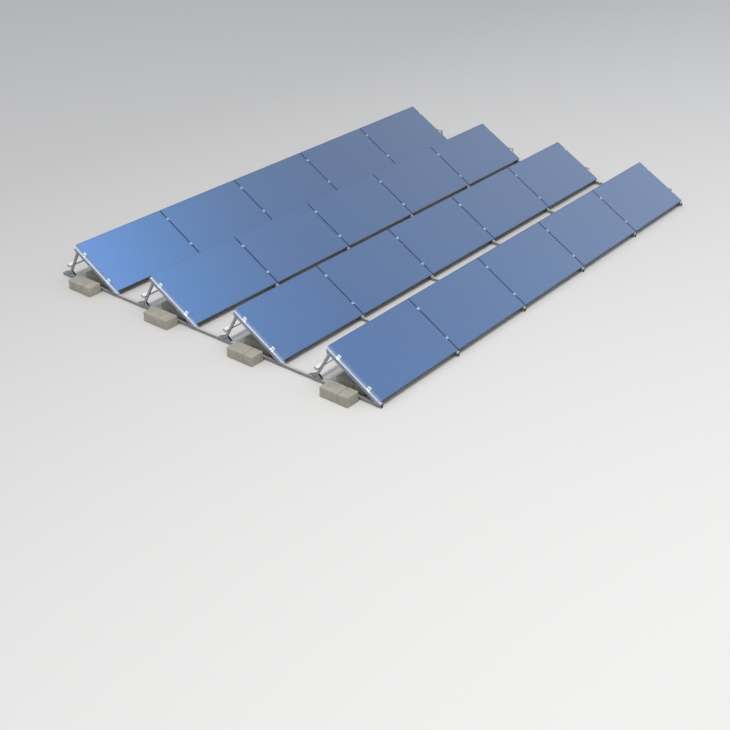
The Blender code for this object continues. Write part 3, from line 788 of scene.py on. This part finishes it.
def tip_plug():
    """Plug over the tilt rail's blunt tip, from just above the base rail to the rail's top."""
    low = -depth_at_height(-TILT_RAIL_TIP, BASE_RAIL_TOP + END_CLEARANCE)
    height = -TILT_RAIL_TOP - low
    centre = (0.0, low + height / 2)
    return end_plug(
        TILT_RAIL_WIDTH, height, 0.001, centre, "Y", -TILT_RAIL_TIP, PLUG - TILT_RAIL_TIP
    )


def head_plug():
    """Soft rectangle between the plumb cut and a plane one plug thickness before it."""
    half, low, top = TILT_RAIL_WIDTH / 2, -TILT_RAIL_BOTTOM, -TILT_RAIL_TOP
    outline = eased(corners(-half, low, half, top), 0.002, 4)
    plane = head_plane(outline[:, 1])
    return extruded(outline, plane - PLUG, plane)


def leg():
    """Square tube hung square to the slope, its foot cut level with the shoe's sole, its
    head let a little into the cap's plate so that no slit shows."""
    half_x, half_y, let_in = LEG_WIDTH / 2, LEG_THICKNESS / 2, 0.0002
    outer = eased(corners(-half_x, -half_y, half_x, half_y), 0.003, 4)
    inner = outer * (1 - LEG_WALL / np.array([half_x, half_y]))
    sole_top = BASE_RAIL_TOP + SHEET + END_CLEARANCE
    foot = depth_at_height(LEG_POSITION + outer[:, 1], sole_top)
    head = np.full(len(outer), TILT_RAIL_BOTTOM + SHEET - let_in)
    points, faces = tube(outer, inner, head, foot)
    points = np.column_stack([points[:, 0], LEG_POSITION + points[:, 2], -points[:, 1]])
    return points, [face[::-1] for face in faces]


def cheeks(loops, gripped):
    """A plate of one outline on each side of a piece as wide as gripped."""
    inner, outer = gripped / 2, gripped / 2 + SHEET
    return [plate(loops, inner, outer), plate(loops, -outer, -inner)]


def sole(front, rear, width):
    """Flat plate on the base rail's top, with soft corners."""
    outline = eased(corners(-width / 2, front, width / 2, rear), 0.004, 4)
    return plate([outline], BASE_RAIL_TOP, BASE_RAIL_TOP + SHEET, "Z")


def shoe():
    """Two cheeks round the leg's foot on a sole. Each cheek is a trapezium that leans with
    the leg, and has a window before it and one behind it."""
    fold = BASE_RAIL_TOP + SHEET * 0.5
    crown = BASE_RAIL_TOP + SHOE_HEIGHT
    lean = SHOE_HEIGHT * math.tan(TILT)
    front, rear = FOOT_Y - SHOE_LENGTH / 2, FOOT_Y + SHOE_LENGTH / 2
    shoulder = BASE_RAIL_TOP + SHOE_END_HEIGHT
    top_rear, top_front = FOOT_Y - lean + SHOE_TOP_LENGTH / 2, FOOT_Y - lean - SHOE_TOP_LENGTH / 2
    outline = [(front, fold), (rear, fold), (rear, shoulder)]
    outline += [(top_rear, crown), (top_front, crown), (front, shoulder)]
    loops = [eased(outline, 0.005, 4)]
    sill = BASE_RAIL_TOP + WINDOW_SILL
    for side in (-1, 1):
        middle = FOOT_Y + side * WINDOW_SPACING / 2
        outer, inner = middle + side * WINDOW_LENGTH / 2, middle - side * WINDOW_LENGTH / 2
        lintel = sill + WINDOW_HEIGHT
        window = np.array([(outer, sill), (inner, sill), (inner, lintel), (middle, lintel)])
        loops.append(eased(window if side > 0 else window[::-1], 0.003, 3))
    return cheeks(loops, LEG_WIDTH) + [sole(front, rear, BASE_RAIL_WIDTH)]


def clip():
    """Two cheeks round the tilt rail on a sole, their tops a line along the slope, a little
    under the rail's top."""
    depth = TILT_RAIL_TOP + 0.012
    front, rear = CLIP_START, CLIP_START + CLIP_LENGTH
    distance = (np.array([front, rear]) - depth * SIN) / COS
    low, high = LOW_EDGE_HEIGHT + distance * SIN - depth * COS
    fold = BASE_RAIL_TOP + SHEET * 0.5
    outline = [(front, fold), (rear, fold), (rear, high), (front, low)]
    width = TILT_RAIL_WIDTH + 2 * SHEET
    return cheeks([eased(outline, 0.003, 4)], TILT_RAIL_WIDTH) + [sole(front, rear, width)]


def cap():
    """Folded cap on the leg's head, in slope coordinates: a plate under the tilt rail and
    a cheek on each side of the leg."""
    under, half = -TILT_RAIL_BOTTOM, CAP_LENGTH / 2
    fold = under - SHEET / 2
    low, high, drop = LEG_POSITION - half, LEG_POSITION + half, under - CAP_DROP
    near, far = LEG_POSITION - LEG_THICKNESS / 2, LEG_POSITION + LEG_THICKNESS / 2
    outline = eased([(low, fold), (near, drop), (far, drop), (high, fold)], 0.004, 4)
    flat = eased(corners(-TILT_RAIL_WIDTH / 2, low, TILT_RAIL_WIDTH / 2, high), 0.004, 4)
    return cheeks([outline], LEG_WIDTH) + [plate([flat], under - SHEET, under, "Z")]


def mid_clamp(distance):
    """T-shaped bar in the joint: the stem stands on the tilt rail, the plate lies over both
    frames, and the screw's head has a shallow bed."""
    stem, reach = MODULE_GAP / 2 - CLEARANCE, MODULE_GAP / 2 + CLAMP_REACH
    low, top = CLEARANCE, CLEARANCE + CLAMP_PLATE
    bed, rim, bed_top = CLAMP_BED_WIDTH / 2, 0.011, top - CLAMP_BED
    half = MID_CLAMP_LENGTH / 2
    outline = [(stem, -TILT_RAIL_TOP), (stem, low), (reach, low), (reach, top)]
    outline += [(rim, top), (bed, bed_top), (-bed, bed_top), (-rim, top)]
    outline += [(-reach, top), (-reach, low), (-stem, low), (-stem, -TILT_RAIL_TOP)]
    return extruded(eased(outline, 0.0012, 3), distance - half, distance + half)


def end_clamp(distance, side):
    """Z-shaped bar at a row's end: a foot on the tilt rail, a wall up the frame's side and a
    lip over the frame. Side 1 is side -1 mirrored."""
    edge, reach = MODULE_GAP / 2 - CLEARANCE, MODULE_GAP / 2 + CLAMP_REACH
    outer, wall = edge - END_CLAMP_WIDTH, edge - END_CLAMP_WALL
    low, top = CLEARANCE, CLEARANCE + CLAMP_PLATE
    foot_low, foot_top = -TILT_RAIL_TOP, END_CLAMP_WALL - TILT_RAIL_TOP
    half = END_CLAMP_LENGTH / 2
    outline = [(outer, foot_low), (edge, foot_low), (edge, low), (reach, low), (reach, top)]
    outline = eased(outline + [(wall, top), (wall, foot_top), (outer, foot_top)], 0.001, 3)
    if side > 0:
        outline = (outline * np.array([-1, 1]))[::-1]
    return extruded(outline, distance - half, distance + half)


def clamp_bolt(distance, side):
    """Cap screw with a socket, standing on the clamp's plate or on its foot."""
    radius, height = 0.0065, 0.008
    profile = [(radius * 1.25, 0), (radius * 1.25, 0.0012), (radius, 0.0014)]
    profile += [(radius, height - 0.0006), (radius - 0.0006, height)]
    profile += [(0.0036, height), (0.0034, height - 0.004)]
    bed, foot = CLEARANCE + CLAMP_PLATE - CLAMP_BED, END_CLAMP_WALL - TILT_RAIL_TOP
    base, x = (foot, side * END_SCREW_OFFSET) if side else (bed, 0.0)
    return shifted(turned(profile, 18), x, distance, base)


def make_supports():
    """Each support line: its base rail, and for each row what stands on it, by finish."""
    slope_parts = {
        "tilt_rails": ("tilt_rail", [tilt_rail(), slot_cover()]),
        "legs": ("leg", [leg()]),
        "leg_caps": ("bracket", cap()),
    }
    level_parts = {"shoes": ("bracket", shoe()), "clips": ("bracket", clip())}
    rail = base_rail()
    half = RAIL_LENGTH / 2
    middle = (0.0, BASE_RAIL_BOTTOM + BASE_RAIL_HEIGHT / 2)
    section = (BASE_RAIL_WIDTH, BASE_RAIL_HEIGHT, PLUG_CORNER, middle, "Y")
    rail_plugs = [end_plug(*section, -half, PLUG - half), end_plug(*section, half - PLUG, half)]
    slope_plugs = [tip_plug(), head_plug()]
    slope_bolts, level_bolts = [], []
    for side in (-1, 1):
        at_leg, at_rail = side * (LEG_WIDTH / 2 + SHEET), side * (TILT_RAIL_WIDTH / 2 + SHEET)
        on_cap = (at_leg, LEG_POSITION, -TILT_RAIL_BOTTOM - CAP_BOLT_DROP)
        on_shoe = (at_leg, FOOT_Y - SHOE_BOLT_BACK, BASE_RAIL_TOP + SHOE_BOLT_RISE)
        on_clip = (at_rail, CLIP_START + CLIP_BOLT_IN, BASE_RAIL_TOP + CLIP_BOLT_RISE)
        slope_bolts.append(hex_bolt(*on_cap, side, CAP_BOLT))
        level_bolts.append(hex_bolt(*on_shoe, side, SHOE_BOLT))
        level_bolts.append(hex_bolt(*on_clip, side, CLIP_BOLT))
    for line in range(LINES):
        x = line_x(line)
        side = -1 if line == 0 else 1 if line == LINES - 1 else 0
        node = [f"support_line_{line + 1}"]
        mark = f"line_{line + 1}"
        make_piece(f"base_rail_{mark}", {"base_rail": [shifted(rail, x)]}, node)
        for name, (key, shapes) in slope_parts.items():
            parts = [on_slope(shifted(shape, x), row) for row in range(ROWS) for shape in shapes]
            make_piece(f"{name}_{mark}", {key: parts}, node)
        for name, (key, shapes) in level_parts.items():
            parts = [shifted(shape, x, row_y(row)) for row in range(ROWS) for shape in shapes]
            make_piece(f"{name}_{mark}", {key: parts}, node)
        clamps, bolts, plugs, caps = [], [], [shifted(plug, x) for plug in rail_plugs], []
        for row in range(ROWS):
            for place in CLAMP_PLACES:
                clamp = end_clamp(place, side) if side else mid_clamp(place)
                clamps.append(on_slope(shifted(clamp, x), row))
                bolts.append(on_slope(shifted(clamp_bolt(place, side), x), row))
            bolts += [on_slope(shifted(bolt, x), row) for bolt in slope_bolts]
            bolts += [shifted(bolt, x, row_y(row)) for bolt in level_bolts]
            caps += [on_slope(shifted(plug, x), row) for plug in slope_plugs]
        make_piece(f"clamps_{mark}", {"clamp" if side else "mid_clamp": clamps}, node)
        make_piece(f"bolts_{mark}", {"steel": bolts}, node)
        make_piece(f"end_plugs_{mark}", {"nylon": plugs, "grey_nylon": caps}, node)


def make_cross_rails():
    """Tube along X behind the legs, square to the slope, with a plug in each end."""
    near = LEG_POSITION + LEG_THICKNESS / 2 + CLEARANCE
    middle_up, middle_over = near + CROSS_RAIL_WIDTH / 2, -CROSS_RAIL_DROP
    half_w, half_h = CROSS_RAIL_WIDTH / 2, CROSS_RAIL_HEIGHT / 2
    outer = eased(corners(-half_w, -half_h, half_w, half_h), PLUG_CORNER, 4)
    inner = outer * (1 - RAIL_WALL / np.array([half_w, half_h]))
    half = COLUMNS * COLUMN_PITCH / 2 + CROSS_RAIL_OVERHANG
    points, faces = tube(outer, inner, -half + PLUG, half - PLUG)
    points = np.column_stack([points[:, 1], middle_up + points[:, 0], middle_over + points[:, 2]])
    rail = (points, [face[::-1] for face in faces])
    section = (CROSS_RAIL_WIDTH, CROSS_RAIL_HEIGHT, PLUG_CORNER, (middle_up, middle_over), "X")
    plugs = [end_plug(*section, -half, PLUG - half), end_plug(*section, half - PLUG, half)]
    for row in range(ROWS):
        ends = [on_slope(plug, row) for plug in plugs]
        shapes = {"cross_rail": [on_slope(rail, row)], "grey_nylon": ends}
        make_piece(f"cross_rail_{row + 1}", shapes, [f"cross_rail_row_{row + 1}"])


# Ballast


def unevenness(points, seed):
    """Unevenness of a pressed block: a sum of sine waves in random directions."""
    random = np.random.default_rng(seed)
    waves = random.normal(size=(9, 3)) * np.geomspace(25, 260, 9)[:, None]
    phase = random.uniform(0, 2 * math.pi, 9)
    share = 1 / np.geomspace(1, 3.2, 9)
    total = (np.sin(points @ waves.T + phase) * share).sum(1) / share.sum()
    return 0.5 + 0.5 * total


def block(low, high, seed):
    """Soft-edged block whose skin is sunk by its unevenness, deepest in the worn band."""
    points, faces = soft_box(low, high, BLOCK_CORNER, (6, 7, 4))
    middle, half = (np.asarray(low) + high) / 2, (np.asarray(high) - low) / 2
    from_middle = points - middle
    near = np.sort(np.clip((np.abs(from_middle) - half + WORN_BAND) / WORN_BAND, 0, 1), axis=1)
    edge = near[:, 1]
    sunk = unevenness(points, seed) * (SKIN_SUNK + BAND_SUNK * edge**2)
    inner = np.clip(from_middle, BLOCK_CORNER - half, half - BLOCK_CORNER)
    out = from_middle - inner
    out /= np.linalg.norm(out, axis=1, keepdims=True)
    return (points - out * sunk[:, None], faces), edge


def make_ballast():
    """At each support a ribbed pan, and on each side of the base rail a half block in
    front and a whole one behind it. Each block has its own seed."""
    inner, outer = BLOCK_FROM_LINE, BLOCK_FROM_LINE + BLOCK_WIDTH
    front = BALLAST_FROM_LOW_EDGE
    split = front + HALF_BLOCK_LENGTH
    rear = split + BLOCK_JOINT + BLOCK_LENGTH
    half = outer - PAN_INSET
    sheet = eased(corners(-half, front + PAN_INSET, half, rear - PAN_INSET), PAN_CORNER, 5)
    pan = [plate([sheet], 0.0, PAN_SHEET, "Z")]
    for rib in (-RIB_FROM_LINE, RIB_FROM_LINE):
        low = (rib - RIB_HALF, front + RIB_END, 0.001)
        pan.append(soft_box(low, (rib + RIB_HALF, rear - RIB_END, RIB_TOP), 0.0012, (1, 1, 1)))
    seed = 0
    for row in range(ROWS):
        for line in range(LINES):
            blocks, edges = [], []
            for near_x in (inner, -outer):
                for near_y, far_y in ((front, split), (split + BLOCK_JOINT, rear)):
                    seed += 1
                    x, y = line_x(line) + near_x, row_y(row)
                    low = (x, y + near_y, PAN_SHEET)
                    high = (x + BLOCK_WIDTH, y + far_y, PAN_SHEET + BLOCK_HEIGHT)
                    shape, edge = block(low, high, seed)
                    blocks.append(shape)
                    edges.append(edge)
            node = f"ballast_row_{row + 1}_line_{line + 1}"
            mark = f"row_{row + 1}_line_{line + 1}"
            worn = np.concatenate(edges)
            make_piece(f"blocks_{mark}", {"concrete": blocks}, [node], edge=worn)
            pans = [shifted(shape, line_x(line), row_y(row)) for shape in pan]
            make_piece(f"pan_{mark}", {"pan": pans}, [node], smooth=30)


# Stage


def make_floor():
    """Flat pale square far larger than the object. The lens sees it with painted shade,
    darker towards the back, running into the room far off; the light it sends up is even."""
    mesh = bpy.data.meshes.new("floor")
    square = corners(-FLOOR_REACH, -FLOOR_REACH, FLOOR_REACH, FLOOR_REACH)
    mesh.from_pydata([(x, y, FLOOR_LEVEL) for x, y in square], [], [(0, 1, 2, 3)])
    finish, tree = blank("pale_floor")
    place = add(tree, "TexCoord").outputs["Object"]
    seen = add(tree, "LightPath").outputs["Is Camera Ray"]
    to_back = add(tree, "SeparateXYZ", {0: place}).outputs[1]
    share = add(tree, "MapRange", {0: to_back, 1: PAPER_FRONT_Y, 2: PAPER_BACK_Y})
    # Painted shade: the floor the lens sees is darker towards the back
    painted_falloff = {0: share.outputs[0], 6: linear(PAPER_FRONT), 7: linear(PAPER_BACK)}
    seen_with_shade = add(tree, "Mix", painted_falloff, data_type="RGBA")
    either = {0: seen, 6: linear(PAPER_EVEN), 7: seen_with_shade.outputs[2]}
    colour = add(tree, "Mix", either, data_type="RGBA")
    surface = {"Base Color": colour.outputs[2], "Roughness": 0.9, "Specular IOR Level": 0.1}
    shader = add(tree, "BsdfPrincipled", surface)
    away = add(tree, "VectorMath", {0: place}, operation="LENGTH").outputs["Value"]
    limits = {0: away, 1: FADE_START, 2: FADE_END}
    far = add(tree, "MapRange", limits, interpolation_type="SMOOTHSTEP")
    fade = add(tree, "Math", {0: far.outputs[0], 1: seen}, operation="MULTIPLY")
    room = add(tree, "Emission", {0: linear(ROOM), 1: ROOM_STRENGTH})
    both = {0: fade.outputs[0], 1: shader.outputs[0], 2: room.outputs[0]}
    mixed = add(tree, "MixShader", both)
    add(tree, "OutputMaterial", {0: mixed.outputs[0]})
    mesh.materials.append(finish)
    floor = bpy.data.objects.new("floor", mesh)
    bpy.context.scene.collection.objects.link(floor)


def make_room():
    """Room for the lens, even light that grows with height for the matt faces, and the
    colours of MIRRORED by height for mirrored rays."""
    world = bpy.data.worlds.new("room")
    bpy.context.scene.world = world
    world.use_nodes = True
    tree = world.node_tree
    tree.nodes.clear()
    path = add(tree, "LightPath")
    direction = add(tree, "TexCoord").outputs["Generated"]
    height = add(tree, "SeparateXYZ", {0: direction}).outputs[2]
    mirrored = add(tree, "ValToRGB", {0: height})
    # A ramp's colours are at most 1, so they are divided here and the strength is the power
    colours = [(*(value / MIRROR_POWER for value in colour), 1.0) for _, colour in MIRRORED]
    marks = mirrored.color_ramp.elements
    marks[0].color, marks[1].color = colours[0], colours[-1]
    for (level, _), colour in list(zip(MIRRORED, colours))[1:-1]:
        marks.new(level).color = colour
    plain = add(tree, "Background", {0: linear(ROOM), 1: ROOM_STRENGTH})
    rise = {0: height, 1: 0.0, 2: 0.7, 3: AMBIENT_LOW, 4: AMBIENT_HIGH}
    dome = add(tree, "MapRange", rise)
    ambient = add(tree, "Background", {0: linear(AMBIENT_TINT), 1: dome.outputs[0]})
    mirror = add(tree, "Background", {0: mirrored.outputs[0], 1: MIRROR_POWER})
    light = {0: path.outputs["Is Glossy Ray"], 1: ambient.outputs[0], 2: mirror.outputs[0]}
    lit = add(tree, "MixShader", light)
    whole = {0: path.outputs["Is Camera Ray"], 1: lit.outputs[0], 2: plain.outputs[0]}
    both = add(tree, "MixShader", whole)
    add(tree, "OutputWorld", {0: both.outputs[0]})


def make_lamp():
    """One soft round lamp, high on the front left and turned to the middle of the array."""
    key = bpy.data.lights.new("key", "AREA")
    key.shape = "DISK"
    key.size = KEY_SIZE
    key.energy = KEY_POWER
    key.color = linear(KEY_TINT)[:3]
    lamp = bpy.data.objects.new("key", key)
    bpy.context.scene.collection.objects.link(lamp)
    lamp.location = KEY_PLACE
    lamp.rotation_euler = (-Vector(KEY_PLACE)).to_track_quat("-Z", "Y").to_euler()


def make_camera():
    """Camera solved from the corners of the modules: yaw, pitch and focal length for a
    frame of 730 by 730 pixels, seen from the front left."""
    yaw, pitch = math.radians(51.304), math.radians(30.080)
    focal_pixels, frame_pixels, sensor = 1200.9, 730.0, 36.0
    # Place from the first row's low left corner: metres to the left, to the front and up
    to_left, to_front, height = 10.162, 7.866, 8.064
    ahead = Vector(
        (math.sin(yaw) * math.cos(pitch), math.cos(yaw) * math.cos(pitch), -math.sin(pitch))
    )
    right = Vector((math.cos(yaw), -math.sin(yaw), 0.0))
    up = right.cross(ahead)
    place = Vector((line_x(0) + MODULE_GAP / 2 - to_left, FIRST_ROW_Y - to_front, height))
    data = bpy.data.cameras.new("camera")
    data.sensor_width = sensor
    data.lens = focal_pixels / frame_pixels * sensor
    data.clip_end = 400.0
    camera = bpy.data.objects.new("camera", data)
    bpy.context.scene.collection.objects.link(camera)
    camera.matrix_world = Matrix(
        (
            (right.x, up.x, -ahead.x, place.x),
            (right.y, up.y, -ahead.y, place.y),
            (right.z, up.z, -ahead.z, place.z),
            (0.0, 0.0, 0.0, 1.0),
        )
    )
    bpy.context.scene.camera = camera


make_camera()
make_modules()
make_supports()
make_cross_rails()
make_ballast()
make_floor()
make_room()
make_lamp()
bpy.context.scene.view_settings.view_transform = "Standard"
